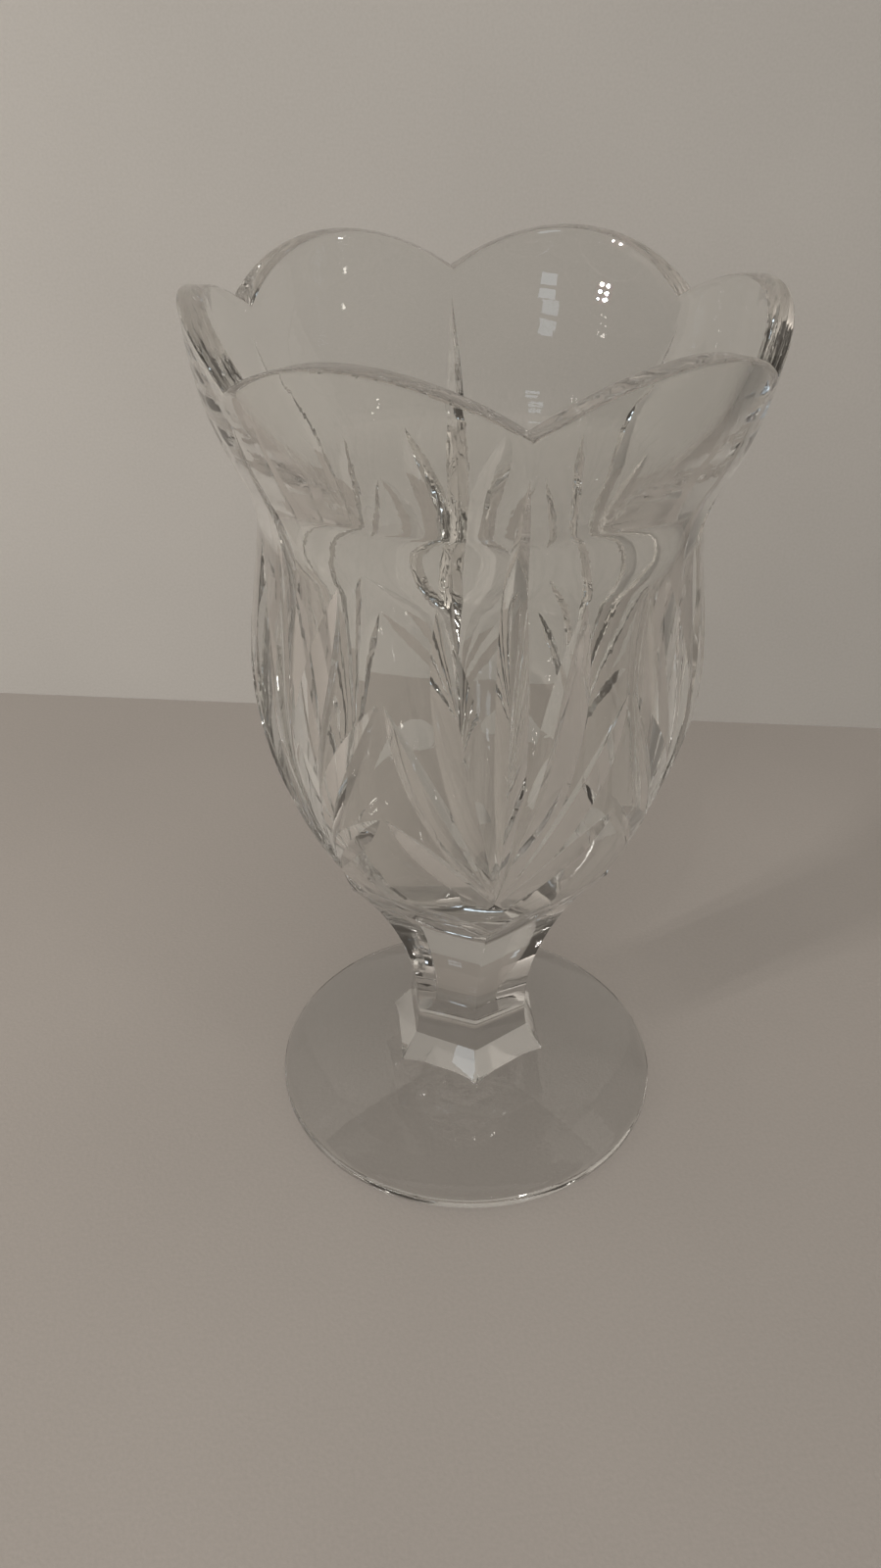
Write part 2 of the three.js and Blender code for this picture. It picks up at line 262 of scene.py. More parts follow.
def turn(name, outline, steps=SPIN_STEPS):
    """A closed solid, spun from an outline that starts and ends on the axis."""
    deselect()
    bpy.ops.mesh.primitive_plane_add(size=MERGE)
    obj = bpy.context.object
    obj.name = obj.data.name = name
    bpy.ops.object.mode_set(mode="EDIT")
    bpy.ops.mesh.select_mode(type="VERT")
    bpy.ops.mesh.merge(type="CENTER")
    here = np.zeros(2)
    for i, point in enumerate(outline):
        move = {"value": (point[0] - here[0], 0, point[1] - here[1])}
        if i == 0:
            bpy.ops.transform.translate(**move)
        else:
            bpy.ops.mesh.extrude_region_move(TRANSFORM_OT_translate=move)
        here = point
    bpy.ops.mesh.select_all(action="SELECT")
    bpy.ops.mesh.spin(steps=steps, angle=2 * math.pi, center=(0, 0, 0), axis=(0, 0, 1))
    bpy.ops.mesh.select_all(action="SELECT")
    bpy.ops.mesh.remove_doubles(threshold=MERGE)
    bpy.ops.mesh.normals_make_consistent(inside=False)
    bpy.ops.object.mode_set(mode="OBJECT")
    return obj


def describe(obj):
    """Prints how fine a mesh is and how large."""
    triangles = sum(len(p.vertices) - 2 for p in obj.data.polygons)
    size = [round(x, 4) for x in obj.dimensions]
    print(obj.name, "has", triangles, "triangles and measures", size)


# %% Turn the bowl's blank
BLANK_SPARE = 0.005
BLANK_BOTTOM = FLOOR_HEIGHT - BLANK_SPARE
lip = RIM_WALL / 2 - LIP_ROUND
lip_middle = RIM_RADIUS - RIM_WALL / 2
quarter = np.linspace(0, math.pi / 2, 5)
lip_outside = np.column_stack(
    [
        lip_middle + lip + LIP_ROUND * np.cos(quarter),
        HEIGHT - LIP_ROUND + LIP_ROUND * np.sin(quarter),
    ]
)
lip_inside = np.column_stack(
    [
        lip_middle - lip - LIP_ROUND * np.sin(quarter),
        HEIGHT - LIP_ROUND + LIP_ROUND * np.cos(quarter),
    ]
)
below_lip = HEIGHT - 1.5 * LIP_ROUND
outside_up = outer_outline[outer_outline[:, 1] < below_lip]
inside_down = inner_outline[inner_outline[:, 1] < below_lip][::-1]
blank_base = [(0, BLANK_BOTTOM), (BOWL_BASE_RADIUS, BLANK_BOTTOM)]
blank_outline = np.vstack([blank_base, outside_up, lip_outside, lip_inside, inside_down])
bowl = turn("bowl_crystal", blank_outline)
describe(bowl)

# %% [markdown]
# Six petals are ground into the rim. Each is an arch that is lowest at the notches on both sides,
# so one formula gives the rim's height from the angle. The rows of the blank are drawn down to it,
# most at the rim and not at all where the flare starts. No hand tool places three hundred columns
# of a spun blank so exactly, so the formula moves the vertices.

# %% Shape the petals
FIXED_HEIGHT = FLARE_HEIGHT


def across_petal(angle):
    """-1 at one notch, 0 down the middle of the petal and 1 at the next notch."""
    return 2 * np.mod(angle / PETAL_ANGLE, 1) - 1


points = np.empty(3 * len(bowl.data.vertices))
bowl.data.vertices.foreach_get("co", points)
points = points.reshape(-1, 3)
angle = np.arctan2(points[:, 0], -points[:, 1])
radius = np.hypot(points[:, 0], points[:, 1])
height = points[:, 2].copy()
share = (radius - inner_radius(height)) / (outer_radius(height) - inner_radius(height))
rim_drop = NOTCH_DEPTH * across_petal(angle) ** 2
lowered = height - rim_drop * np.clip((height - FIXED_HEIGHT) / (HEIGHT - FIXED_HEIGHT), 0, None)
inside_at, outside_at = inner_radius(lowered), outer_radius(lowered)
petal = height > FIXED_HEIGHT
radius = np.where(petal, inside_at + share * (outside_at - inside_at), radius)
points[:, 0] = radius * np.sin(angle)
points[:, 1] = -radius * np.cos(angle)
points[:, 2] = lowered
bowl.data.vertices.foreach_set("co", points.ravel())
bowl.data.update()
print("the rim runs from", round(HEIGHT - NOTCH_DEPTH, 4), "to", round(HEIGHT, 4), "m")

# %% [markdown]
# A grinding wheel cuts six flats down the stem. They start as pointed arches under the bowl,
# draw in to a thin waist and end at the skirt on the foot. All three gathers share them, so one
# six-sided solid is turned in six steps, and each piece is then cut out of it.

# %% Sizes of the stem and the skirt
STEM_WAIST_HEIGHT = 0.040
STEM_WAIST_APOTHEM = 0.017
FLUTE_TOP_HEIGHT = 0.103
FLUTE_TOP_APOTHEM = 0.0458
SKIRT_HEIGHT = 0.0255
SKIRT_TOP_APOTHEM = 0.0175
SKIRT_FOOT_HEIGHT = 0.016
SKIRT_FOOT_APOTHEM = 0.023
WHEEL_BOTTOM = SKIRT_FOOT_HEIGHT / 2
WHEEL_TOP = HEIGHT + 0.01
WHEEL_REACH = RIM_RADIUS + 0.01
STEM_EASE = 0.0003
RIDGE_ROUND = 0.0005
print("the stem is", 2 * STEM_WAIST_APOTHEM, "m across its flats at its waist")

# %% Draw the middle line of one flat
skirt_slope = (SKIRT_FOOT_APOTHEM - SKIRT_TOP_APOTHEM) / (SKIRT_HEIGHT - SKIRT_FOOT_HEIGHT)
stem_rise = STEM_WAIST_HEIGHT - SKIRT_HEIGHT
flute_rise = FLUTE_TOP_HEIGHT - STEM_WAIST_HEIGHT
flute_reach = FLUTE_TOP_APOTHEM - STEM_WAIST_APOTHEM
skirt_bottom = (SKIRT_TOP_APOTHEM + skirt_slope * (SKIRT_HEIGHT - WHEEL_BOTTOM), WHEEL_BOTTOM)
flute_outline = chain(
    np.array([skirt_bottom, (SKIRT_TOP_APOTHEM, SKIRT_HEIGHT)]),
    bezier(
        (SKIRT_TOP_APOTHEM, SKIRT_HEIGHT),
        (STEM_WAIST_APOTHEM - STEM_EASE, SKIRT_HEIGHT + 0.35 * stem_rise),
        (STEM_WAIST_APOTHEM - STEM_EASE, STEM_WAIST_HEIGHT - 0.4 * stem_rise),
        (STEM_WAIST_APOTHEM, STEM_WAIST_HEIGHT),
        12,
    ),
    bezier(
        (STEM_WAIST_APOTHEM, STEM_WAIST_HEIGHT),
        (STEM_WAIST_APOTHEM, STEM_WAIST_HEIGHT + 0.25 * flute_rise),
        (FLUTE_TOP_APOTHEM - 0.65 * flute_reach, FLUTE_TOP_HEIGHT - 0.24 * flute_rise),
        (FLUTE_TOP_APOTHEM, FLUTE_TOP_HEIGHT),
        48,
    ),
    np.array(
        [
            (FLUTE_TOP_APOTHEM, FLUTE_TOP_HEIGHT),
            (FLUTE_TOP_APOTHEM + 0.325 * flute_reach, FLUTE_TOP_HEIGHT + 0.12 * flute_rise),
            (WHEEL_REACH, FLUTE_TOP_HEIGHT + 0.4 * flute_rise),
            (WHEEL_REACH, WHEEL_TOP),
        ]
    ),
)
print("a flat's middle line has", len(flute_outline), "points")

# %% Turn the six-sided solid and round its ridges
SAME_ANGLE = 0.01
OFF_AXIS = 0.01

corner = 1 / math.cos(PETAL_ANGLE / 2)
ridge_outline = np.vstack([[(0, WHEEL_BOTTOM)], flute_outline * (corner, 1), [(0, WHEEL_TOP)]])
six_sided = turn("six_sided", ridge_outline, PETALS)
pick(six_sided)
bpy.ops.transform.rotate(value=PETAL_ANGLE / 2, orient_axis="Z", center_override=(0, 0, 0))
bpy.ops.object.transform_apply()
bpy.ops.object.mode_set(mode="EDIT")
bpy.ops.mesh.select_all(action="DESELECT")
bpy.ops.mesh.select_mode(type="EDGE")
bpy.ops.object.mode_set(mode="OBJECT")
for edge in six_sided.data.edges:
    a, b = (six_sided.data.vertices[i].co for i in edge.vertices)
    upright = abs(math.atan2(a.x, -a.y) - math.atan2(b.x, -b.y)) < SAME_ANGLE
    off_axis = min(a.xy.length, b.xy.length) > OFF_AXIS
    edge.select = upright and off_axis
bpy.ops.object.mode_set(mode="EDIT")
bpy.ops.mesh.bevel(offset=RIDGE_ROUND, segments=3, affect="EDGES")
bpy.ops.mesh.select_all(action="SELECT")
bpy.ops.mesh.normals_make_consistent(inside=False)
bpy.ops.object.mode_set(mode="OBJECT")
describe(six_sided)

# %% [markdown]
# The stem is the stretch of the six-sided solid between the two hot joins. Bisect cuts it off
# with a flat, filled face at each end. The plunger's tip reaches into it, so a body of the inside's
# own outline is turned and taken out of its top.

# %% Helpers that copy, combine and cut
def copy_of(obj, name):
    """A copy of obj with a mesh of its own."""
    made = obj.copy()
    made.data = obj.data.copy()
    made.name = made.data.name = name
    bpy.context.scene.collection.objects.link(made)
    return made


def boolean(obj, other, operation):
    """Joins other to obj, takes it out of obj, or keeps what the two share."""
    pick(obj)
    cut = obj.modifiers.new(operation.lower(), "BOOLEAN")
    cut.operation = operation
    cut.object = other
    cut.solver = "MANIFOLD"
    bpy.ops.object.modifier_apply(modifier=cut.name)


def discard(*objects):
    """Deletes helpers that have done their work, meshes and all."""
    for obj in objects:
        bpy.data.meshes.remove(obj.data)


def cut_off(obj, height, keep):
    """Cuts obj with a level plane and keeps what is above or below it."""
    pick(obj)
    bpy.ops.object.mode_set(mode="EDIT")
    bpy.ops.mesh.select_all(action="SELECT")
    bpy.ops.mesh.bisect(
        plane_co=(0, 0, height),
        plane_no=(0, 0, 1),
        use_fill=True,
        clear_inner=keep == "above",
        clear_outer=keep == "below",
    )
    bpy.ops.object.mode_set(mode="OBJECT")


# %% Cut the stem
BOWL_JOIN = BOWL_BASE_HEIGHT
FOOT_JOIN = SKIRT_HEIGHT
JOIN_GAP = 0.00002
ROD_BOTTOM = 0.01
ROD_TOP = 0.12
TIP_SPARE = 0.02

rod_outline = [
    (0, ROD_BOTTOM),
    (BOWL_BASE_RADIUS, ROD_BOTTOM),
    (BOWL_BASE_RADIUS, ROD_TOP),
    (0, ROD_TOP),
]
stem = turn("stem_crystal", rod_outline)
boolean(stem, six_sided, "INTERSECT")
cut_off(stem, BOWL_JOIN - JOIN_GAP, "below")
cut_off(stem, FOOT_JOIN + JOIN_GAP, "above")
tip_outline = inner_outline[inner_outline[:, 1] < BOWL_JOIN + TIP_SPARE]
plunger_tip = turn("plunger_tip", np.vstack([tip_outline, [(0, tip_outline[-1, 1])]]))
boolean(stem, plunger_tip, "DIFFERENCE")
discard(plunger_tip)
describe(stem)

# %% [markdown]
# The foot is a domed disc, slightly hollow underneath, so that the vase stands on a ring and
# doesn't rock. Its skirt comes from the six-sided solid, and a Boolean union fuses the two.

# %% Draw half of the foot
FOOT_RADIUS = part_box("foot")[1].x
FOOT_EDGE = 0.0036
FOOT_EDGE_ROUND = 0.0012
UNDERSIDE_RADIUS = 0.045
UNDERSIDE_HOLLOW = 0.002
DOME_RISE = 0.012
DOME_SPREAD = 0.010
DOME_DROP = 0.0025
SKIRT_OVERLAP = 0.004
DOME_TOP = SKIRT_FOOT_HEIGHT + 0.002

skirt_corner = SKIRT_FOOT_APOTHEM * corner
shoulder = FOOT_RADIUS - FOOT_EDGE_ROUND
low_quarter = np.linspace(-math.pi / 2, 0, 5)
high_quarter = np.linspace(0, math.pi / 2, 5)
edge_low = np.column_stack(
    [
        shoulder + FOOT_EDGE_ROUND * np.cos(low_quarter),
        FOOT_EDGE_ROUND * (1 + np.sin(low_quarter)),
    ]
)
edge_high = np.column_stack(
    [
        shoulder + FOOT_EDGE_ROUND * np.cos(high_quarter),
        FOOT_EDGE - FOOT_EDGE_ROUND * (1 - np.sin(high_quarter)),
    ]
)
underside = bezier(
    (0, UNDERSIDE_HOLLOW),
    (0.5 * UNDERSIDE_RADIUS, UNDERSIDE_HOLLOW),
    (0.8 * UNDERSIDE_RADIUS, 0.25 * UNDERSIDE_HOLLOW),
    (UNDERSIDE_RADIUS, 0),
    24,
)
dome = bezier(
    (shoulder, FOOT_EDGE),
    (FOOT_RADIUS - DOME_RISE, FOOT_EDGE + 0.38 * (SKIRT_FOOT_HEIGHT - FOOT_EDGE)),
    (skirt_corner + DOME_SPREAD, SKIRT_FOOT_HEIGHT - DOME_DROP),
    (skirt_corner - SKIRT_OVERLAP, DOME_TOP),
    36,
)
print("the foot is", round(2 * FOOT_RADIUS, 4), "m across and", FOOT_EDGE, "m thick at its edge")

# %% Turn the foot and fuse its skirt
foot = turn("foot_crystal", np.vstack([underside, edge_low, edge_high, dome[1:], [(0, DOME_TOP)]]))
skirt = copy_of(six_sided, "skirt")
cut_off(skirt, FOOT_JOIN - JOIN_GAP, "below")
boolean(foot, skirt, "UNION")
describe(foot)

# %% [markdown]
# The stem's flutes run on into the bowl and end there as pointed arches, where each flat of the
# wheel leaves the round blank. What the wheel leaves of the blank is what lies inside the
# six-sided solid, so the bowl keeps only what the two share above the join.

# %% Grind the flutes into the bottom of the bowl
upper = copy_of(six_sided, "upper")
cut_off(upper, BOWL_JOIN + JOIN_GAP, "above")
boolean(bowl, upper, "INTERSECT")
discard(upper, skirt, six_sided)
describe(bowl)

# %% [markdown]
# The pattern is cut with a wheel that has a V-shaped edge. Each cut is deepest part of the way
# along and runs out to nothing at its tip. A cutter is a long three-sided bar: one triangle is
# extruded again and again, and each ring of the bar is then laid along the cut's own path on
# the glass, as deep as the wheel goes there.

# %% Sizes of the cuts
CUTTER_LIFT = 0.002
ROOT_DEPTH = 0.35
FAN_ROOT_HEIGHT = BOWL_BASE_HEIGHT + 0.008
NOTCH_HEIGHT = HEIGHT - NOTCH_DEPTH
MEETING_GAP = math.radians(0.8)
MEETING_SPREAD = PETAL_ANGLE / 2 - MEETING_GAP
# Each cut: how far its tip leans from the fan's middle, the tip's height, the depth, the place
# where it is deepest, and the angle of the wheel's edge. The steep upright one looks dark.
CUTS = [
    (0, NOTCH_HEIGHT - 0.0086, 0.0036, 0.5, math.radians(96)),
    (math.radians(17.5), WAIST_HEIGHT, 0.0038, 0.62, math.radians(116)),
    (MEETING_SPREAD, BODY_HEIGHT + 0.016, 0.0022, 0.6, math.radians(126)),
    (MEETING_SPREAD, BODY_HEIGHT - 0.017, 0.002, 0.6, math.radians(126)),
]
print("a fan has", 2 * len(CUTS) - 1, "cuts, and the deepest goes in", max(c[2] for c in CUTS), "m")

# %% Model the wheel's bar
MITRE_STEPS = 48
BAR_STEP = 0.001

deselect()
bpy.ops.mesh.primitive_circle_add(vertices=3, radius=BAR_STEP, fill_type="NGON")
bar = bpy.context.object
bar.name = bar.data.name = "wheel_bar"
bpy.ops.object.mode_set(mode="EDIT")
bpy.ops.mesh.select_all(action="SELECT")
for _ in range(MITRE_STEPS):
    bpy.ops.mesh.extrude_region_move(TRANSFORM_OT_translate={"value": (0, 0, BAR_STEP)})
bpy.ops.object.mode_set(mode="OBJECT")
bar_points = np.array([v.co for v in bar.data.vertices])
bar_ring = np.round(bar_points[:, 2] / BAR_STEP).astype(int)
bar_angle = np.arctan2(bar_points[:, 0], bar_points[:, 1])
bar_corner = np.round(bar_angle / (2 * math.pi / 3)).astype(int) % 3
print("the bar has", len(bar_points), "points in", bar_ring.max() + 1, "rings")


# %% Helpers that lay the bar along a cut
NEARBY = 0.01
NEARBY_HEIGHT = 0.001


def glass_point(angle, height):
    """The place on the outside of the blank at an angle from -Y and a height."""
    radius = outer_radius(height)
    return np.stack([radius * np.sin(angle), -radius * np.cos(angle), height], -1)


def unit(vectors):
    """The same directions with a length of one."""
    return vectors / np.linalg.norm(vectors, axis=-1, keepdims=True)


def groove_depth(depth, fullest, along):
    """How deep a cut is: shallow at the fan's root, fullest on the way, nothing at the tip."""
    running_out = 1 - ((along - fullest) / (1 - fullest)) ** 2
    opening = 1 + (ROOT_DEPTH - 1) * ((fullest - along) / fullest) ** 2
    return depth * np.where(along > fullest, running_out, opening)


def mitre(name, cut, side):
    """A copy of the bar, laid along one cut."""
    spread, tip, depth, fullest, wheel_angle = cut
    lean = side * spread

    def place(along):
        return glass_point(lean * along, FAN_ROOT_HEIGHT + (tip - FAN_ROOT_HEIGHT) * along)

    along = np.linspace(0, 1, MITRE_STEPS + 1)
    angle = lean * along
    height = FAN_ROOT_HEIGHT + (tip - FAN_ROOT_HEIGHT) * along
    around = glass_point(angle + NEARBY, height) - glass_point(angle - NEARBY, height)
    up = glass_point(angle, height + NEARBY_HEIGHT) - glass_point(angle, height - NEARBY_HEIGHT)
    normal = unit(np.cross(around, up))
    ahead = place(along + NEARBY) - place(along - NEARBY)
    across = unit(np.cross(ahead, normal))
    centre = place(along)
    deep = groove_depth(depth, fullest, along)[:, None]
    half = (deep + CUTTER_LIFT) * math.tan(wheel_angle / 2)
    top = centre + CUTTER_LIFT * normal
    corners = np.stack([centre - deep * normal, top + half * across, top - half * across], 1)
    made = copy_of(bar, name)
    made.data.vertices.foreach_set("co", corners[bar_ring, bar_corner].ravel())
    made.data.update()
    pick(made)
    bpy.ops.object.mode_set(mode="EDIT")
    bpy.ops.mesh.select_all(action="SELECT")
    bpy.ops.mesh.quads_convert_to_tris()
    bpy.ops.mesh.normals_make_consistent(inside=False)
    bpy.ops.object.mode_set(mode="OBJECT")
    return made


# %% [markdown]
# Where the bars of a fan cross, a Boolean union makes one cutter of them. It is copied round the
# axis for the other fans, and all six are taken from the bowl in one Boolean, which is faster and
# cleaner than forty-two cuts one after the other. Neighbouring fans overlap only above the glass,
# where there is nothing to cut, so they are joined as they are.

# %% Cut the six fans
fan = None
for cut in CUTS:
    for side in (1, -1) if cut[0] else (1,):
        made = mitre("fan", cut, side)
        if fan is None:
            fan = made
        else:
            boolean(fan, made, "UNION")
            discard(made)
discard(bar)
describe(fan)
fans = [fan]
for k in range(1, PETALS):
    turned = copy_of(fan, "fan")
    turned.data.transform(Matrix.Rotation(k * PETAL_ANGLE, 4, "Z"))
    fans.append(turned)
deselect()
for piece in fans:
    piece.select_set(True)
bpy.context.view_layer.objects.active = fan
bpy.ops.object.join()
boolean(bowl, fan, "DIFFERENCE")
discard(fan)
describe(bowl)

# %% [markdown]
# Polished glass is smooth everywhere except where two cuts meet. Faces that meet at less than the
# angle of such an edge are shaded as one surface, and the sharper ones keep their crease.

# %% Smooth the faces between the edges
GLASS_EDGE = math.radians(16)
for piece in (bowl, stem, foot):
    pick(piece)
    bpy.ops.object.shade_smooth_by_angle(angle=GLASS_EDGE)
print("edges sharper than", round(math.degrees(GLASS_EDGE)), "degrees stay crisp")

# %% [markdown]
# Lead crystal is clear and bends light strongly, with an index near 1.55. A perfect surface would
# look like a computer's: real crystal was worked by hand, so its faces are faintly wavy and the
# melt holds fine cords, called striae, that run up the piece. Both are far thinner than a hair, so
# they are a bump on the surface and not shape. Glass also lets most light through to the table,
# which a ray tracer can't find through a solid of glass, so shadow rays see it as a tinted pane:
# the thick stem and the cut bowl turn much light aside, and the smooth foot only a little.

# %% Clear crystal
CRYSTAL_TINT = (0.972, 0.975, 0.966)
CRYSTAL_TINT_DEEP = (0.955, 0.962, 0.948)
CRYSTAL_INDEX = 1.545
WAVE_SCALE = 70
WAVE_HEIGHT = 0.00004
STRIAE_SCALE = 420
STRIAE_STRETCH = (1, 1, 0.08)
STRIAE_HEIGHT = 0.00001
CUT_GLASS_SHADOW = 0.75
SMOOTH_GLASS_SHADOW = 0.97


def crystal_glass(name, shadow):
    """Clear glass; shadow is the share of the light that one of its faces lets through."""
    made = bpy.data.materials.new(name)
    made.use_nodes = True
    nodes, links = made.node_tree.nodes, made.node_tree.links
    shader = nodes["Principled BSDF"]
    shader.inputs["Roughness"].default_value = 0.0
    shader.inputs["IOR"].default_value = CRYSTAL_INDEX
    shader.inputs["Transmission Weight"].default_value = 1

    place = nodes.new("ShaderNodeTexCoord")
    waves = nodes.new("ShaderNodeTexNoise")
    waves.inputs["Scale"].default_value = WAVE_SCALE
    waves.inputs["Detail"].default_value = 1
    links.new(place.outputs["Object"], waves.inputs["Vector"])
    upright = nodes.new("ShaderNodeMapping")
    upright.inputs["Scale"].default_value = STRIAE_STRETCH
    links.new(place.outputs["Object"], upright.inputs["Vector"])
    striae = nodes.new("ShaderNodeTexNoise")
    striae.inputs["Scale"].default_value = STRIAE_SCALE
    striae.inputs["Detail"].default_value = 2
    links.new(upright.outputs["Vector"], striae.inputs["Vector"])
    broad = nodes.new("ShaderNodeBump")
    broad.inputs["Distance"].default_value = WAVE_HEIGHT
    links.new(waves.outputs["Fac"], broad.inputs["Height"])
    fine = nodes.new("ShaderNodeBump")
    fine.inputs["Distance"].default_value = STRIAE_HEIGHT
    links.new(striae.outputs["Fac"], fine.inputs["Height"])
    links.new(broad.outputs["Normal"], fine.inputs["Normal"])
    links.new(fine.outputs["Normal"], shader.inputs["Normal"])

    tint = nodes.new("ShaderNodeMix")
    tint.data_type = "RGBA"
    tint.inputs[6].default_value = (*CRYSTAL_TINT, 1)
    tint.inputs[7].default_value = (*CRYSTAL_TINT_DEEP, 1)
    links.new(waves.outputs["Fac"], tint.inputs[0])
    links.new(tint.outputs[2], shader.inputs["Base Color"])

    path = nodes.new("ShaderNodeLightPath")
    pane = nodes.new("ShaderNodeBsdfTransparent")
    pane.inputs["Color"].default_value = (shadow, shadow, shadow, 1)
    mix = nodes.new("ShaderNodeMixShader")
    links.new(path.outputs["Is Shadow Ray"], mix.inputs["Fac"])
    links.new(shader.outputs[0], mix.inputs[1])
    links.new(pane.outputs[0], mix.inputs[2])
    links.new(mix.outputs[0], nodes["Material Output"].inputs["Surface"])
    return made


cut_crystal = crystal_glass("cut_crystal", CUT_GLASS_SHADOW)
foot_crystal = crystal_glass("foot_crystal", SMOOTH_GLASS_SHADOW)
print("glass:", cut_crystal.name, "and", foot_crystal.name, "with an index of", CRYSTAL_INDEX)

# %% [markdown]
# Where two gathers were joined hot, no surface is left in the real glass. The two faces that meet
# there are made fully transparent, so that light passes from one piece into the next unbent.
# They are the only level, flat faces at the heights of the two joins, which is how they are found.

# %% Hot joins
LEVEL = 0.999
NEAR_JOIN = 0.0001

join = bpy.data.materials.new("hot_join")
join.use_nodes = True
tree = join.node_tree
tree.nodes.clear()
clear = tree.nodes.new("ShaderNodeBsdfTransparent")
out = tree.nodes.new("ShaderNodeOutputMaterial")
tree.links.new(clear.outputs[0], out.inputs["Surface"])

for piece, crystal in ((bowl, cut_crystal), (stem, cut_crystal), (foot, foot_crystal)):
    piece.data.materials.clear()
    piece.data.materials.append(crystal)
    piece.data.materials.append(join)
    count = 0
    for face in piece.data.polygons:
        level = face.center.z
        flat = abs(face.normal.z) > LEVEL
        at_join = min(abs(level - BOWL_JOIN), abs(level - FOOT_JOIN)) < NEAR_JOIN
        face.material_index = int(flat and at_join)
        count += face.material_index
    print(piece.name, "has", count, "join faces")

# %% [markdown]
# Each finished piece takes the place of the plain solid it was modelled from. The vase has no
# moving parts, so all three ride on the same body.

# %% Put the pieces in the frame
for piece, node in ((bowl, "bowl"), (stem, "stem"), (foot, "foot")):
    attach(piece, "root")
    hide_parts(node)
    print(piece.name, "takes the place of", node)

# %% [markdown]
# The vase stands on pale matt paper in front of a board of the same kind. Paper isn't one colour:
# it has a fine grain that catches the light and slow, faint changes of tone from handling. The
# board is lit from the left, as the vase is, and has no back, so that views from behind the vase
# see past it.

# %% Matt paper
GRAIN_SCALE = 900
CLOUD_SCALE = 7
TONE_CHANGE = 0.06


def matt_paper(name, color):
    """Rough paper of one colour, with a fine grain and slow changes of tone."""
    made = bpy.data.materials.new(name)
    made.use_nodes = True
    nodes, links = made.node_tree.nodes, made.node_tree.links
    shader = nodes["Principled BSDF"]
    shader.inputs["Roughness"].default_value = 0.9
    shader.inputs["Specular IOR Level"].default_value = 0.1
    place = nodes.new("ShaderNodeTexCoord")
    grain = nodes.new("ShaderNodeTexNoise")
    grain.inputs["Scale"].default_value = GRAIN_SCALE
    grain.inputs["Detail"].default_value = 3
    cloud = nodes.new("ShaderNodeTexNoise")
    cloud.inputs["Scale"].default_value = CLOUD_SCALE
    cloud.inputs["Detail"].default_value = 3
    both = nodes.new("ShaderNodeMix")
    both.inputs[0].default_value = 0.5
    for noise in (grain, cloud):
        links.new(place.outputs["Object"], noise.inputs["Vector"])
    links.new(grain.outputs["Fac"], both.inputs[2])
    links.new(cloud.outputs["Fac"], both.inputs[3])
    tone = nodes.new("ShaderNodeValToRGB")
    tone.color_ramp.elements[0].position = 0.3
    tone.color_ramp.elements[0].color = (*[(1 - TONE_CHANGE) * c for c in color], 1)
    tone.color_ramp.elements[1].position = 0.7
    tone.color_ramp.elements[1].color = (*[(1 + TONE_CHANGE) * c for c in color], 1)
    links.new(both.outputs[0], tone.inputs["Fac"])
    links.new(tone.outputs["Color"], shader.inputs["Base Color"])
    bump = nodes.new("ShaderNodeBump")
    bump.inputs["Strength"].default_value = 0.3
    bump.inputs["Distance"].default_value = 0.0002
    links.new(grain.outputs["Fac"], bump.inputs["Height"])
    links.new(bump.outputs["Normal"], shader.inputs["Normal"])
    return made


# %% Lay the floor
FLOOR_COLOR = (0.247, 0.226, 0.206)
FLOOR_SIZE = 6
FLOOR_DROP = 0.0002

deselect()
bpy.ops.mesh.primitive_plane_add(size=FLOOR_SIZE, location=(0, 0, -FLOOR_DROP))
floor = bpy.context.object
floor.name = "floor"
floor.data.materials.append(matt_paper("table_paper", FLOOR_COLOR))
print("the floor is", FLOOR_SIZE, "m wide")

# %% Stand the board behind the vase
BACKDROP_COLOR = (0.292, 0.28, 0.262)
BACKDROP_SIZE = (2.4, 1.2)
BACKDROP_PLACE = (0, 0.2258, 0.6)
BACKDROP_TURN = math.radians(-10)

deselect()
bpy.ops.mesh.primitive_plane_add(size=1)
backdrop = bpy.context.object
backdrop.name = "backdrop"
backdrop.scale = (*BACKDROP_SIZE, 1)
bpy.ops.object.transform_apply()
backdrop.location = BACKDROP_PLACE
backdrop.rotation_euler = (math.pi / 2, 0, BACKDROP_TURN)
board = matt_paper("board", BACKDROP_COLOR)
tree = board.node_tree
seen = tree.nodes.new("ShaderNodeNewGeometry")
gone = tree.nodes.new("ShaderNodeBsdfTransparent")
mix = tree.nodes.new("ShaderNodeMixShader")
tree.links.new(seen.outputs["Backfacing"], mix.inputs["Fac"])
tree.links.new(tree.nodes["Principled BSDF"].outputs[0], mix.inputs[1])
tree.links.new(gone.outputs[0], mix.inputs[2])
tree.links.new(mix.outputs[0], tree.nodes["Material Output"].inputs["Surface"])
backdrop.data.materials.append(board)
print("the board stands", BACKDROP_PLACE[1], "m behind the vase's axis")

# %% [markdown]
# Glass shows the room more than itself. The room is dim, so the world is almost dark, and the
# edges of the cuts that look out into it turn dark too. Two soft lamps light the paper evenly and
# are hidden from the glass, because a wide white patch in each facet would wash the cuts out.
#
# What sparkles comes from small, strong lamps that the glass may see: a lamp of six panes to the
# left, a cool window beside it, a weak lamp to the right and four small bright things around the
# vase. Light that the glass focuses on the table is left out, as it would fill the shadow.

# %% Room light
ROOM_COLOR = (0.036, 0.031, 0.026)

world = bpy.data.worlds.new("room")
bpy.context.scene.world = world
world.use_nodes = True
world.node_tree.nodes["Background"].inputs[0].default_value = (*ROOM_COLOR, 1)
world.node_tree.nodes["Background"].inputs[1].default_value = 1
print("the room's light is", ROOM_COLOR)

# %% A helper that hangs a lamp
LAMP_AIM = Vector((0, 0, 0.15))


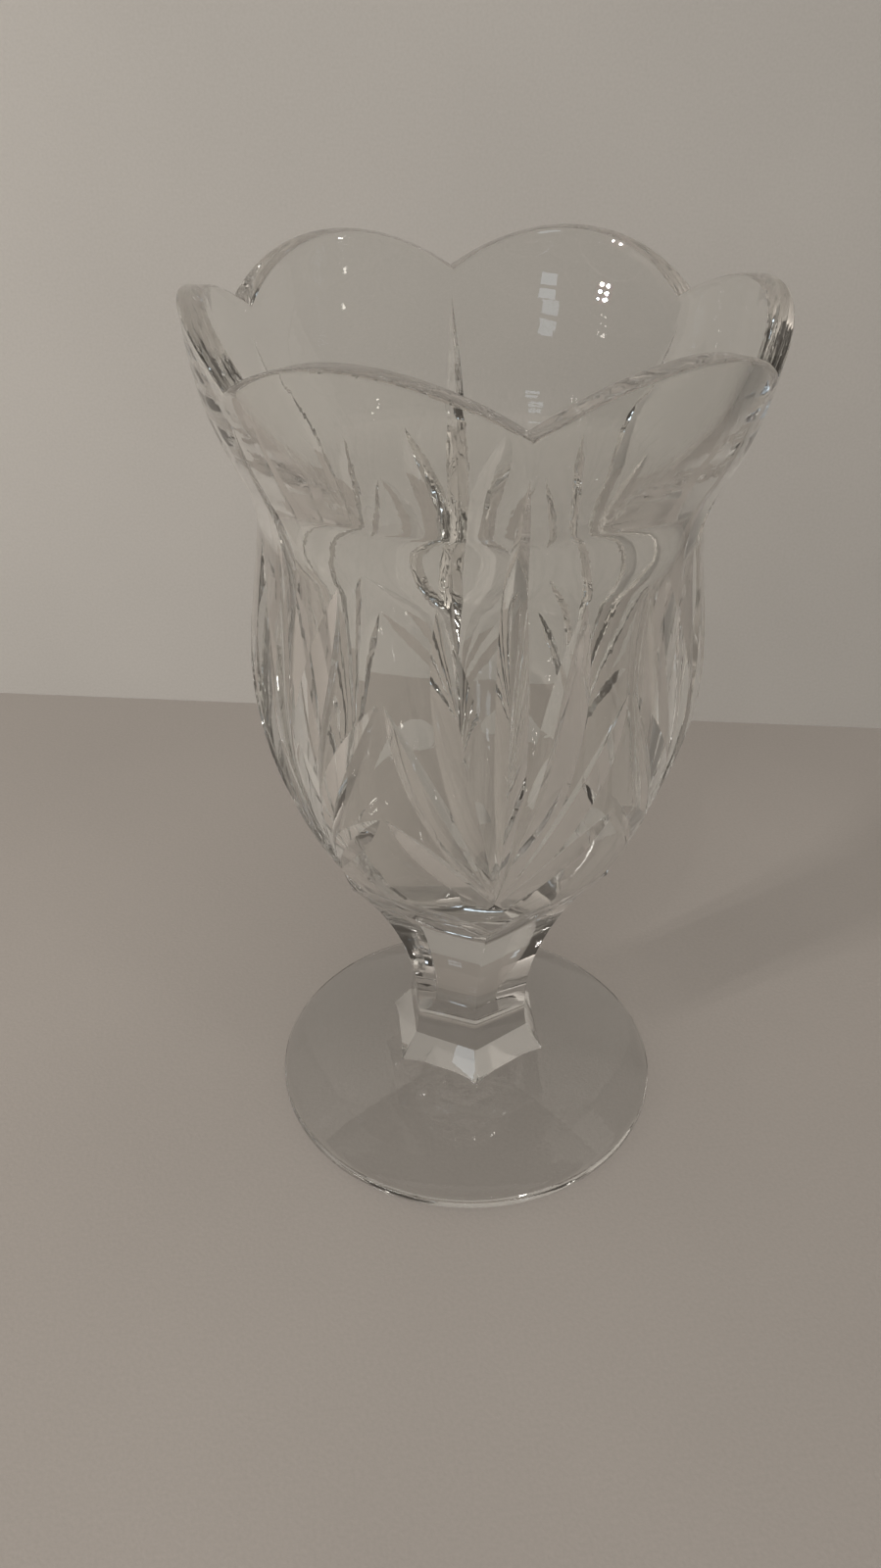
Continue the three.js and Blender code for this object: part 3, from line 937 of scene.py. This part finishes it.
def lamp(name, azimuth, elevation, distance, size, watts, color):
    """A flat lamp that faces the vase, placed by its direction in degrees, from -Y towards +X."""
    a, e = math.radians(azimuth), math.radians(elevation)
    away = Vector((math.sin(a) * math.cos(e), -math.cos(a) * math.cos(e), math.sin(e)))
    bpy.ops.object.light_add(type="AREA", location=LAMP_AIM + distance * away)
    made = bpy.context.object
    made.name = name
    made.data.shape = "RECTANGLE"
    made.data.size, made.data.size_y = size
    made.data.energy = watts
    made.data.color = color
    made.rotation_euler = away.to_track_quat("Z", "Y").to_euler()
    return made


# %% Soft lamps for the paper
SOFT_WHITE = (1, 0.97, 0.93)

deselect()
overhead = lamp("overhead", 0, 80, 2.2, (1.4, 1.4), 27, SOFT_WHITE)
front_fill = lamp("front_fill", -15, 40, 2.2, (1.2, 1.2), 8, SOFT_WHITE)
for soft in (overhead, front_fill):
    soft.visible_glossy = False
    soft.visible_transmission = False
print("soft lamps:", overhead.name, "and", front_fill.name)

# %% Small lamps that the glass shows
PANE_DIRECTION = (-65, 14)
PANE_SPACING = 3
PANE_SIZE = (0.032, 0.032)
PANE_WHITE = (1, 0.95, 0.9)
WINDOW_BLUE = (0.75, 0.88, 1)
FAR_WHITE = (1, 0.95, 0.88)
GLINT_WHITE = (1, 0.97, 0.92)
# The small bright things: azimuth, elevation and size.
GLINTS = [(-20, 48, 0.06), (35, 55, 0.2), (150, 42, 0.25), (-140, 30, 0.25)]

for row in range(3):
    for column in range(2):
        azimuth = PANE_DIRECTION[0] + PANE_SPACING * (column - 0.5)
        elevation = PANE_DIRECTION[1] + PANE_SPACING * (row - 1)
        lamp(f"pane_{row}_{column}", azimuth, elevation, 1.8, PANE_SIZE, 7.2, PANE_WHITE)
for row in range(2):
    lamp(f"window_{row}", -38, 13 + 7 * row, 2.0, (0.28, 0.18), 0.4, WINDOW_BLUE)
lamp("far_lamp", 60, 5, 1.8, (0.06, 0.06), 0.6, FAR_WHITE)
for k, (azimuth, elevation, size) in enumerate(GLINTS):
    lamp(f"glint_{k}", azimuth, elevation, 2.0, (size, size), 3, GLINT_WHITE)

# %% [markdown]
# A ray that enters cut glass is turned back inside it many times before it gets out. With too few
# bounces it is stopped on the way and leaves a black facet, so it is given plenty.

# %% How far light is followed
BOUNCES = 40

bpy.context.scene.view_settings.view_transform = "Standard"
paths = bpy.context.scene.cycles
paths.max_bounces = paths.glossy_bounces = paths.transmission_bounces = BOUNCES
paths.transparent_max_bounces = BOUNCES
paths.caustics_refractive = paths.caustics_reflective = False
print("light is followed for", BOUNCES, "bounces")
